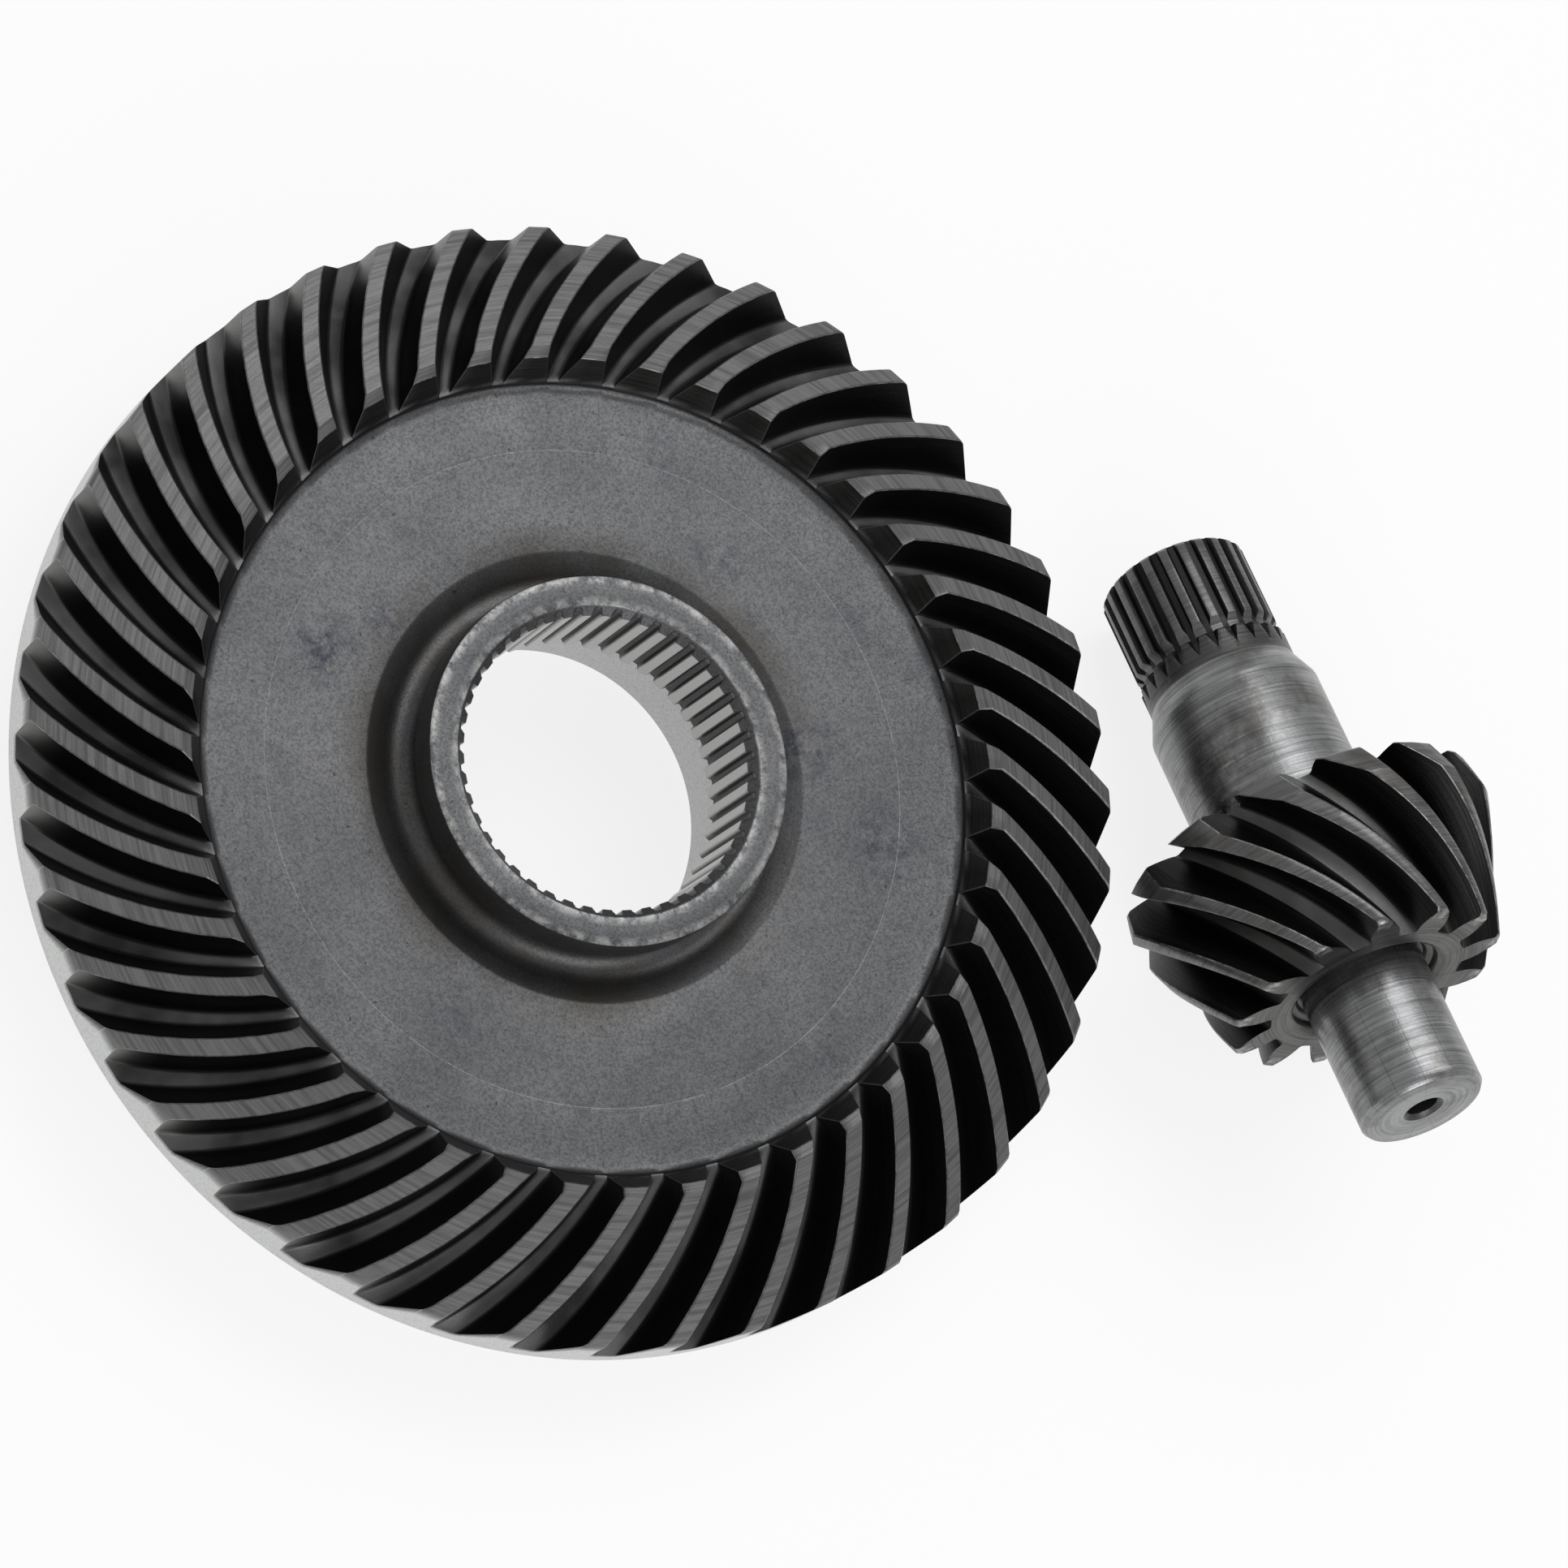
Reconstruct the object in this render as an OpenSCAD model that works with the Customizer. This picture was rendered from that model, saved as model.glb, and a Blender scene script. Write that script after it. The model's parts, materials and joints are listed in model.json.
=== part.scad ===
// Spiral bevel gear pair for a right-angle drive: a splined crown gear lying on its rear hub,
// and its pinion shaft lying beside it on the tips of its teeth and the end of its spline.
// Millimetres. Z is up, the table is z = 0 and the crown gear's axis is the Z axis.

/* [Which piece] */
// piece to draw

/* [Pair] */
// outer transverse module of the pair
pair_module = 4; // [3.6:0.1:4.4]
// teeth on the crown gear
crown_teeth = 43; // [41:1:45]
// teeth on the pinion
pinion_teeth = 13; // [12:1:14]
// face width along the pitch cone
face_width = 25; // [20:0.5:27]
// normal pressure angle
pressure_angle = 18; // [16:0.5:21]
// clearance between a tip and the root it runs over
tip_clearance = 0.7; // [0.5:0.05:1]
// play between the flanks in mesh, measured along the pitch line
backlash = 0.2; // [0.1:0.02:0.4]

/* [Crown teeth] */
// addendum of the crown gear at the heel
crown_addendum = 2; // [1.6:0.1:2.4]
// dedendum of the crown gear at the heel
crown_dedendum = 5.1; // [4.6:0.1:5.5]
// how much the face cone is steeper than the pitch cone
face_cone_extra = 0.2; // [0:0.1:1]
// how much the root cone is steeper than the pitch cone
root_cone_extra = 2.8; // [2:0.1:3.2]
// mean radius of the face mill that sweeps a tooth space
cutter_radius = 68; // [62:1:76]
// spiral angle at the middle of the face
spiral_angle = 35; // [30:1:38]
// width of a tooth space at its floor, middle of the face
slot_floor = 2.2; // [1.7:0.05:2.5]
// sideways set of each side of the mill that makes the space widen to the heel
slot_widen = 1.3; // [0.8:0.05:1.8]
// turn of the teeth about the axis
crown_phase = -0.8; // [-4:0.1:4]

/* [Crown body] */
// height of the flat web above the rear face of the hub
web_height = 23.5; // [20:0.5:27]
// height of the rear face of the toothed rim above the table
rim_back = 11; // [9:0.5:13]
// radius of the rim's outer wall
rim_radius = 86.3; // [84:0.1:88]
// height of the hub's front face
hub_top = 33; // [30:0.5:36]
// radius of the hub's front collar
hub_radius = 28.4; // [27:0.1:30]
// radius of the ground seat on the rear hub
rear_seat_radius = 30; // [29:0.5:33]
// length of the ground seat on the rear hub
rear_seat_length = 9; // [6:0.5:10]
// radius of the shoulder above the rear seat
rear_shoulder_radius = 34; // [33.5:0.5:38]
// radius of the plain relief bore behind the spline
relief_radius = 25.7; // [25:0.1:27]
// depth of the relief bore from the rear face
relief_depth = 15.4; // [12:0.2:18]

/* [Crown spline] */
// grooves in the hub's bore
hub_spline_teeth = 46; // [44:1:48]
// radius of the hub spline's tooth tips
hub_spline_minor = 22.5; // [22:0.05:23]
// radius of the hub spline's groove floors
hub_spline_major = 23.45; // [23.2:0.05:23.8]
// turn of the grooves about the axis
hub_spline_phase = 5.45; // [0:0.05:7.8]

/* [Pinion body] */
// radius of the journal in front of the teeth
journal_radius = 10; // [9:0.1:11]
// length of the journal in front of the toe face
journal_length = 21.7; // [18:0.1:26]
// radius of the threaded hole in the journal's end, at the thread's core
end_hole_radius = 2.5; // [2:0.1:3]
// depth of the threaded hole
end_hole_depth = 14; // [10:0.5:16]
// axial length of the toothed head
head_length = 26.4; // [24:0.1:27]
// radius of the bearing seat behind the head
seat_radius = 14; // [13:0.1:15]
// length of the bearing seat
seat_length = 23.2; // [20:0.1:26]
// radius of the neck behind the seat
neck_radius = 12.2; // [11.9:0.1:13]
// length of the neck with its cone
neck_length = 9; // [7:0.1:11]
// radius of the turned groove in front of the spline
groove_radius = 10.9; // [10.6:0.1:11.1]
// width of the turned groove
groove_width = 2; // [1.6:0.1:3]

/* [Pinion spline] */
// teeth on the shaft's spline
shaft_spline_teeth = 24; // [22:1:26]
// radius of the shaft spline's tips
shaft_spline_major = 11.9; // [11.6:0.05:12.1]
// radius of the shaft spline's floors
shaft_spline_minor = 11; // [10.8:0.05:11.2]
// length of the full spline
shaft_spline_length = 14.8; // [12:0.1:18]

/* [Where the pinion lies] */
// heading of the pinion's journal in plan, from +X
pinion_heading = -22.1; // [-40:0.1:0]
// direction of the pinion's heel from the crown gear's axis in plan, from +X
pinion_side = 49.6; // [40:0.1:70]
// room left in plan between the rim's wall and the circle of the pinion's heel
pinion_gap = 1.4; // [1.2:0.1:20]
// turn of the pinion about its own axis
pinion_turn = 7.9; // [-14:0.1:14]

/* [Hidden] */
$fn = 96;
pitch_crown_r = pair_module * crown_teeth / 2;
pitch_pinion_r = pair_module * pinion_teeth / 2;
cone_outer = sqrt(pitch_crown_r * pitch_crown_r + pitch_pinion_r * pitch_pinion_r);
cone_inner = cone_outer - face_width;
cone_mean = cone_outer - face_width / 2;
pinion_delta = atan(pitch_pinion_r / pitch_crown_r);

// slopes of the crown's cones, from the horizontal
face_slope = pinion_delta + face_cone_extra;
root_slope = pinion_delta + root_cone_extra;
// heel height of the face cone, from the rim, and the shared apex above the table
heel_face_z = 23.36;
apex_z = heel_face_z - crown_addendum / cos(pinion_delta) + pitch_pinion_r;

// depth of the ring's root below the pitch cone at cone distance a, and the root line
function crown_ded(a) = crown_dedendum - (cone_outer - a) * tan(root_cone_extra);
function crown_add(a) = crown_addendum + (cone_outer - a) * tan(face_cone_extra);
function face_z(r) = heel_face_z + (pitch_crown_r - r) * tan(face_slope);

// the face mill's centre in the pitch plane, seen from the apex, generator along +X
cut_x = cone_mean - cutter_radius * sin(spiral_angle);
cut_y = -cutter_radius * cos(spiral_angle);
mean_dir = atan2(-cut_y, cone_mean - cut_x);
set_x = slot_widen * sin(mean_dir);
set_y = -slot_widen * cos(mean_dir);
blade = tan(pressure_angle);
slot_high = 11;

// heel point of the root line in the XZ plane, used to lay the mill on the root cone
root_heel_r = cone_outer * cos(pinion_delta) - crown_dedendum * sin(pinion_delta);
root_heel_z = apex_z - cone_outer * sin(pinion_delta) - crown_dedendum * cos(pinion_delta);

function arc(cx, cy, r, a0, a1, n) =
    [for (i = [0 : n]) [cx + r * cos(a0 + (a1 - a0) * i / n), cy + r * sin(a0 + (a1 - a0) * i / n)]];

// ---------- crown gear ----------

toe_corner_r = 63.6;
toe_corner_z = 28.9;
toe_edge_r = 65.3;
toe_lean = 31.4;
toe_fillet = 1.8;
toe_floor_r = toe_corner_r - (toe_corner_z - web_height) * tan(toe_lean);
toe_tangent = toe_fillet * tan((90 - toe_lean) / 2);
hub_edge = 1.5;
foot_r = 3;
foot_x = hub_radius + 1.6;
foot_z = web_height + 0.7;
foot_top = 180 - acos((foot_x - hub_radius) / foot_r);
edge = 0.6;
rim_edge = 1.5;

module crown_blank() {
    rotate_extrude()
    polygon(concat(
        [[relief_radius + edge, 0], [relief_radius, edge], [relief_radius, relief_depth],
         [hub_spline_minor, relief_depth], [hub_spline_minor, hub_top - hub_edge],
         [hub_spline_minor + hub_edge, hub_top], [hub_radius - 0.4, hub_top],
         [hub_radius, hub_top - 0.4]],
        arc(foot_x, foot_z, foot_r, foot_top, 300, 9),
        [[foot_x + foot_r / 2 + (web_height - foot_z + foot_r * cos(30)) / tan(30), web_height]],
        arc(toe_floor_r - toe_tangent, web_height + toe_fillet, toe_fillet,
            -90, -toe_lean, 5),
        [[toe_corner_r, toe_corner_z], [toe_edge_r, face_z(toe_edge_r)],
         [rim_radius - 0.4, face_z(rim_radius - 0.4)], [rim_radius, face_z(rim_radius) - 0.5],
         [rim_radius, rim_back + rim_edge], [rim_radius - rim_edge, rim_back],
         [rear_shoulder_radius + 1, rim_back], [rear_shoulder_radius, rim_back - 0.5],
         [rear_shoulder_radius, rear_seat_length + 0.5],
         [rear_shoulder_radius - 0.5, rear_seat_length], [rear_seat_radius, rear_seat_length],
         [rear_seat_radius, 1], [rear_seat_radius - 1, 0]]));
}

// one tooth space: what the outer side of the mill clears, less what its inner side leaves
module tooth_space() {
    translate([root_heel_r, 0, root_heel_z])
    rotate([0, root_slope, 0])
    translate([-cone_outer, 0, 0])
    difference() {
        translate([cut_x + set_x, cut_y + set_y, 0])
        rotate([0, 0, mean_dir - 24])
        rotate_extrude(angle = 46)
        polygon([[cutter_radius - 9, 0], [cutter_radius + slot_floor / 2, 0],
                 [cutter_radius + slot_floor / 2 + slot_high * blade, slot_high],
                 [cutter_radius - 9, slot_high]]);
        translate([cut_x - set_x, cut_y - set_y, -1])
        cylinder(r1 = cutter_radius - slot_floor / 2 + blade,
                 r2 = cutter_radius - slot_floor / 2 - (slot_high + 1) * blade,
                 h = slot_high + 2);
    }
}

// grooves of the hub's spline, as one outline cut through the splined land
module hub_grooves() {
    step = 360 / hub_spline_teeth;
    translate([0, 0, relief_depth - 1])
    linear_extrude(height = hub_top - relief_depth + 2)
    polygon([for (i = [0 : hub_spline_teeth - 1])
             for (p = [[hub_spline_minor - 0.6, -0.34], [hub_spline_minor - 0.02, -0.27],
                       [hub_spline_major, -0.13], [hub_spline_major, 0.13],
                       [hub_spline_minor - 0.02, 0.27], [hub_spline_minor - 0.6, 0.34]])
             p[0] * [cos(hub_spline_phase + step * (i + p[1])),
                     sin(hub_spline_phase + step * (i + p[1]))]]);
}

module crown_gear() {
    color([0.33, 0.34, 0.36])
    difference() {
        crown_blank();
        for (k = [0 : crown_teeth - 1])
            rotate([0, 0, crown_phase + k * 360 / crown_teeth])
            tooth_space();
        hub_grooves();
    }
}

// ---------- pinion shaft: its own axis is Z, from the apex toward the heel ----------

function inv(a) = tan(a) * 180 / PI - a;
pinion_add_heel = crown_dedendum - tip_clearance;
// tip cone of the pinion, radius at distance z along the axis from the apex
tip_z = cone_outer * cos(pinion_delta) - pinion_add_heel * sin(pinion_delta);
tip_r = pitch_pinion_r + pinion_add_heel * cos(pinion_delta);
function tip_at(z) = tip_r + (z - tip_z) * tan(root_slope);

heel_z = cone_outer * cos(pinion_delta) + crown_addendum * sin(pinion_delta) + 2;
toe_z = heel_z - head_length;
journal_z = toe_z - journal_length;
heel_edge_z = heel_z - 5;
heel_edge_r = tip_at(heel_edge_z);
heel_corner_z = heel_z - 0.6;
heel_corner_r = heel_edge_r - 0.8;
seat_z = heel_z + 1.8;
neck_z = seat_z + seat_length;
groove_z = neck_z + neck_length;
spline_z = groove_z + groove_width;
end_z = spline_z + shaft_spline_length;

module pinion_blank() {
    rotate_extrude()
    polygon([[0, journal_z], [journal_radius - 0.65, journal_z], [journal_radius, journal_z + 0.9],
             [journal_radius, toe_z + 1.8], [journal_radius - 0.4, toe_z + 2.2],
             [journal_radius - 0.4, toe_z + 2.7], [journal_radius + 0.5, toe_z + 2.7],
             [journal_radius + 0.9, toe_z + 2.1], [journal_radius + 1.8, toe_z + 1.9],
             [journal_radius + 2.1, toe_z + 0.7], [journal_radius + 3.1, toe_z],
             [tip_at(toe_z) - 0.5, toe_z], [tip_at(toe_z + 0.5), toe_z + 0.5],
             [heel_edge_r, heel_edge_z], [heel_corner_r, heel_corner_z],
             [heel_edge_r - 1.4, heel_z], [seat_radius + 5, heel_z], [seat_radius + 4, heel_z + 1],
             [seat_radius + 3.4, seat_z], [seat_radius - 0.3, seat_z], [seat_radius - 0.3, seat_z + 1.6],
             [seat_radius, seat_z + 2], [seat_radius, neck_z], [neck_radius, neck_z + 4.4],
             [neck_radius, groove_z], [groove_radius, groove_z + 0.3],
             [groove_radius, spline_z - 0.5], [shaft_spline_major, spline_z + 0.5],
             [shaft_spline_major, end_z - 0.7], [shaft_spline_major - 0.7, end_z], [0, end_z]]);
}

// The pinion's teeth run in the crown's spaces. At cone distance a each side of a tooth
// stands on the circle of the mill's blade in the pitch plane; the plane angle is wrapped
// on the pinion's cone by 1 / sin(delta), and across the tooth the side is the involute of
// the equivalent spur wheel of radius a * tan(delta) laid on the back cone.
function side_x(s) = cut_x + s * set_x;
function side_y(s) = cut_y + s * set_y;
function side_rad(a, s) = cutter_radius + s * (slot_floor / 2 + crown_ded(a) * blade);
function side_dist(s) = norm([side_x(s), side_y(s)]);
function side_turn(a, s) = atan2(side_y(s), side_x(s))
    + acos((a * a + pow(side_dist(s), 2) - pow(side_rad(a, s), 2)) / (2 * a * side_dist(s)));
function side_spiral(a, s) =
    asin((a * a + pow(side_rad(a, s), 2) - pow(side_dist(s), 2)) / (2 * a * side_rad(a, s)));
function side_alpha(a, s) = atan(blade / cos(side_spiral(a, s)));
function side_play(a) = backlash / 2 / (a * sin(pinion_delta)) * 180 / PI;
function side_roll(a, rho, s) = let (
    rv = a * tan(pinion_delta),
    at = side_alpha(a, s),
    rb = rv * cos(at),
    ar = rho > rb ? acos(rb / rho) : 0)
    inv(at) - inv(ar);
// angle about the pinion's axis of side s (1 outer, -1 inner) at back-cone radius rho
function side_angle(a, rho, s) = side_turn(a, s) / sin(pinion_delta)
    + s * (side_roll(a, rho, s) / cos(pinion_delta) - side_play(a));
// a point of the back cone at distance a
function on_cone(a, rho, ang) = [
    rho * cos(pinion_delta) * cos(ang),
    rho * cos(pinion_delta) * sin(ang),
    a / cos(pinion_delta) - rho * sin(pinion_delta)];

space_step = 360 / pinion_teeth;
sections = 15;
// how far a space's solid stands above the tip cone that it cuts
space_over = 0.35;
levels = [1, 0.62, 0.3, 0, -0.35];
function root_rho(a) = a * tan(pinion_delta) - crown_add(a) - tip_clearance;
function tip_rho(a) = a * tan(pinion_delta) + crown_ded(a) - tip_clearance;
// down one side of a space: above the tip, the working side, then round the fillet
function side_points(a, s) = let (
    off = s > 0 ? 0 : space_step,
    lowest = root_rho(a) + 0.75,
    arm = 180 / PI / (a * sin(pinion_delta)))
    concat(
        [for (v = levels) let (
            span = tip_rho(a) - a * tan(pinion_delta),
            rho = v >= 1 ? tip_rho(a) + space_over
                : v >= 0 ? a * tan(pinion_delta) + v * span : lowest + 0.9 * (1 + v))
            on_cone(a, rho, off + side_angle(a, rho, s))],
        [on_cone(a, lowest, off + side_angle(a, lowest, s)),
         on_cone(a, root_rho(a) + 0.22, off + side_angle(a, lowest, s) + s * 0.28 * arm),
         on_cone(a, root_rho(a), off + side_angle(a, lowest, s) + s * 0.85 * arm)]);
// top of a space's solid, clear of the blank's round
function space_crown(a) = on_cone(a, tip_rho(a) + 2, side_angle(a, tip_rho(a), 1) / 2
    + (space_step + side_angle(a, tip_rho(a), -1)) / 2);
function flip(v) = [for (i = [len(v) - 1 : -1 : 0]) v[i]];

module pinion_space() {
    a0 = cone_inner - 7;
    a1 = cone_outer + 9;
    m = len(levels) + 3;
    n = 2 * m + 1;
    rows = [for (i = [0 : sections]) let (a = a0 + (a1 - a0) * i / sections)
            concat(side_points(a, 1), flip(side_points(a, -1)), [space_crown(a)])];
    pts = [for (row = rows) for (p = row) p];
    walls = [for (i = [0 : sections - 1]) for (j = [0 : n - 1])
             for (t = [0, 1]) let (
                 p = i * n + j,
                 q = i * n + (j + 1) % n)
             t == 0 ? [p, q, q + n] : [p, q + n, p + n]];
    last = sections * n;
    ends = [for (j = [0 : m - 2]) for (t = [0 : 3]) let (
                p = j,
                q = 2 * m - 1 - j)
            t == 0 ? [p, q, q - 1] : t == 1 ? [p, q - 1, p + 1]
            : t == 2 ? [last + p, last + q - 1, last + q]
            : [last + p, last + p + 1, last + q - 1]];
    lids = [[2 * m - 1, 0, 2 * m], [last, last + 2 * m - 1, last + 2 * m]];
    polyhedron(points = pts, faces = concat(walls, ends, lids), convexity = 4);
}

// one groove of the shaft's spline, with its run-out into the neck
module shaft_groove() {
    translate([0, 0, groove_z - 3])
    linear_extrude(height = end_z - groove_z + 4)
    polygon([[shaft_spline_minor, -0.45], [neck_radius + 0.6, -1.3],
             [neck_radius + 0.6, 1.3], [shaft_spline_minor, 0.45]]);
}

module pinion_body() {
    difference() {
        pinion_blank();
        for (k = [0 : pinion_teeth - 1])
            rotate([0, 0, k * space_step])
            pinion_space();
        for (k = [0 : shaft_spline_teeth - 1])
            rotate([0, 0, k * 360 / shaft_spline_teeth])
            shaft_groove();
        translate([0, 0, journal_z - 1])
        cylinder(r = end_hole_radius, h = end_hole_depth + 1);
        translate([0, 0, journal_z - 0.1])
        cylinder(r1 = end_hole_radius + 0.8, r2 = end_hole_radius - 0.1, h = 0.9);
    }
}

// lying on the corner of the heel and on the end of the spline, both touching the table
lie_run = end_z - 0.7 - heel_corner_z;
lie_drop = heel_corner_r - shaft_spline_major;
lie_tilt = atan(lie_drop / lie_run);
heel_high = heel_corner_r * cos(lie_tilt) + (heel_corner_z - heel_edge_z) * sin(lie_tilt);
pinion_away = rim_radius + heel_edge_r + pinion_gap;

module pinion_shaft() {
    color([0.36, 0.36, 0.37])
    translate([pinion_away * cos(pinion_side), pinion_away * sin(pinion_side), heel_high])
    rotate([0, 0, pinion_heading + 180])
    rotate([0, 90 + lie_tilt, 0])
    rotate([0, 0, pinion_turn])
    translate([0, 0, -heel_edge_z])
    pinion_body();
}

crown_gear();
pinion_shaft();
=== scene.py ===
# Spiral bevel gear pair: a crown gear on its rear hub and the pinion shaft lying beside it.
import bpy, json, math
import numpy as np
from mathutils import Matrix, Vector


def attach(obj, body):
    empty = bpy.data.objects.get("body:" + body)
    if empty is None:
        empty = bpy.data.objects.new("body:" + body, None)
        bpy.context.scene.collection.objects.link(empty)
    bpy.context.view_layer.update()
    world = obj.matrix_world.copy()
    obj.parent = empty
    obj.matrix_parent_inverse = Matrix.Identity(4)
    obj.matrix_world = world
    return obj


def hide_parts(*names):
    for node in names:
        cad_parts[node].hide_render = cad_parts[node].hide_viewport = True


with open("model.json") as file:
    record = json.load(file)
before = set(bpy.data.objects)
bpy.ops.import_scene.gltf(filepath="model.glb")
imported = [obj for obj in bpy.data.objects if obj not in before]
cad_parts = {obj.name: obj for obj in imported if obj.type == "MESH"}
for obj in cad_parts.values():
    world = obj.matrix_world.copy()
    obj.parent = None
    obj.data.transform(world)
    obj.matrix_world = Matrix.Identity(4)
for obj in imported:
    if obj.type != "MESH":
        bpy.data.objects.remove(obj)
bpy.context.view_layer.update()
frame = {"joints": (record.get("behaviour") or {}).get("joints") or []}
print("frame loaded")

degree = math.pi / 180
pinionJoint = frame["joints"][0]

pair = dict(crownTeeth=43, pinionTeeth=13, crownPitch=86.0, pinionPitch=26.0, faceWidth=25.0,
            addendum=2.0, dedendum=5.1, clearance=0.7, backlash=0.2,
            faceExtra=0.2, rootExtra=2.8, pressure=18.0,
            millRadius=68.0, spiral=35.0, slotFloor=2.2, slotWiden=1.3, heelFace=23.36)


def pairLines(p):
    # cone distances, slopes and the mill's centre, all from the pair's own sizes
    p["cone"] = math.hypot(p["crownPitch"], p["pinionPitch"])
    p["delta"] = math.atan(p["pinionPitch"] / p["crownPitch"])
    middle = p["cone"] - p["faceWidth"] / 2
    p["blade"] = math.tan(p["pressure"] * degree)
    p["faceSlope"] = p["delta"] + p["faceExtra"] * degree
    p["rootSlope"] = p["delta"] + p["rootExtra"] * degree
    p["apex"] = p["heelFace"] - p["addendum"] / math.cos(p["delta"]) + p["pinionPitch"]
    p["millX"] = middle - p["millRadius"] * math.sin(p["spiral"] * degree)
    p["millY"] = -p["millRadius"] * math.cos(p["spiral"] * degree)
    lean = math.atan2(-p["millY"], middle - p["millX"])
    p["setX"] = p["slotWiden"] * math.sin(lean)
    p["setY"] = -p["slotWiden"] * math.cos(lean)
    p["rootR"] = p["cone"] * math.cos(p["delta"]) - p["dedendum"] * math.sin(p["delta"])
    p["rootZ"] = p["apex"] - p["cone"] * math.sin(p["delta"]) - p["dedendum"] * math.cos(p["delta"])
    return p


pair = pairLines(pair)


# mesh helpers: every new piece is one grid of points, rows by columns

def arc(cx, cy, r, a0, a1, n):
    # n + 1 points of a circle from angle a0 to a1, in degrees
    a = np.radians(np.linspace(a0, a1, n + 1))
    return [(cx + r * math.cos(t), cy + r * math.sin(t)) for t in a]


def surface(name, points, marks, closedRows, own=None, sharp=38):
    # points[row, column] in millimetres; columns always close round, rows close too or end in poles
    rows, cols = points.shape[:2]
    own = (points if own is None else own).reshape(-1, 3)
    i, j = np.meshgrid(np.arange(rows if closedRows else rows - 1), np.arange(cols), indexing="ij")
    i2, j2 = (i + 1) % rows, (j + 1) % cols
    quads = np.stack([i * cols + j, i * cols + j2, i2 * cols + j2, i2 * cols + j], -1).reshape(-1, 4)
    verts = points.reshape(-1, 3)
    values = {k: v.reshape(-1) for k, v in marks.items()}
    loops, starts = [quads.ravel()], [np.arange(len(quads)) * 4]
    if not closedRows:
        poles = np.stack([points[0].mean(0), points[-1].mean(0)])
        verts = np.vstack([verts, poles])
        own = np.vstack([own, own[:cols].mean(0), own[-cols:].mean(0)])
        values = {k: np.append(v, [v[0], v[-1]]) for k, v in values.items()}
        c = np.arange(cols)
        first = np.stack([np.full(cols, rows * cols), (c + 1) % cols, c], -1)
        base = (rows - 1) * cols
        last = np.stack([np.full(cols, rows * cols + 1), base + c, base + (c + 1) % cols], -1)
        tris = np.vstack([first, last])
        loops.append(tris.ravel())
        starts.append(len(quads) * 4 + np.arange(len(tris)) * 3)
    loops, starts = np.concatenate(loops), np.concatenate(starts)
    mesh = bpy.data.meshes.new(name)
    mesh.vertices.add(len(verts))
    mesh.vertices.foreach_set("co", (verts * 0.001).astype(np.float32).ravel())
    mesh.loops.add(len(loops))
    mesh.loops.foreach_set("vertex_index", loops.astype(np.int32))
    mesh.polygons.add(len(starts))
    mesh.polygons.foreach_set("loop_start", starts.astype(np.int32))
    mesh.update(calc_edges=True)
    mesh.validate()
    for key, value in values.items():
        layer = mesh.attributes.new(key, "FLOAT", "POINT")
        layer.data.foreach_set("value", value.astype(np.float32))
    layer = mesh.attributes.new("own", "FLOAT_VECTOR", "POINT")
    layer.data.foreach_set("vector", own.astype(np.float32).ravel())
    mesh.polygons.foreach_set("use_smooth", np.ones(len(mesh.polygons), bool))
    mesh.set_sharp_from_angle(angle=sharp * degree)
    piece = bpy.data.objects.new(name, mesh)
    bpy.context.scene.collection.objects.link(piece)
    return piece


def ringPoints(radius, height, angle):
    # cylindrical to Cartesian, whole arrays
    return np.stack([radius * np.cos(angle), radius * np.sin(angle), height], -1)


# crown gear rim: the toothed ring

rim = dict(seamRadius=50.7, webHeight=23.5, toeCornerR=63.6, toeCornerZ=28.9, toeEdgeR=65.3,
           toeLean=31.4, toeFillet=1.8, rimRadius=86.3, rimBack=11.0, rimEdge=1.5,
           phase=-0.8, edgeBreak=0.17, rootRound=0.85,
           runOut=61.35, webRows=10, glowLength=5.5)  # runOut: where the spaces run out into the toe face


def crownFaceZ(r):
    # height of the tooth tips' cone at radius r
    return pair["heelFace"] + (pair["crownPitch"] - r) * math.tan(pair["faceSlope"])


def crownFloorZ(r, angle):
    # the mill's flat end leaves a plane that touches the root cone along the middle of the space
    return pair["rootZ"] - (r * np.cos(angle) - pair["rootR"]) * math.tan(pair["rootSlope"])


def crownSideAngle(r, z, side):
    # angle at which the mill's cone on that side passes through radius r and height z:
    # Newton steps on (distance from the mill's axis) - (blade radius at that height)
    cs, sn = math.cos(pair["rootSlope"]), math.sin(pair["rootSlope"])
    cx, cy = pair["millX"] + side * pair["setX"], pair["millY"] + side * pair["setY"]

    def miss(angle):
        x, y = r * np.cos(angle) - pair["rootR"], r * np.sin(angle)
        along = pair["cone"] + x * cs - (z - pair["rootZ"]) * sn
        up = x * sn + (z - pair["rootZ"]) * cs
        blade = pair["millRadius"] + side * (pair["slotFloor"] / 2 + up * pair["blade"])
        return np.hypot(along - cx, y - cy) - blade

    angle = np.zeros(np.broadcast(r, z).shape)
    for _ in range(9):
        m = miss(angle)
        angle = angle - m / ((miss(angle + 1e-5) - m) / 1e-5)
    return angle


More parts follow.
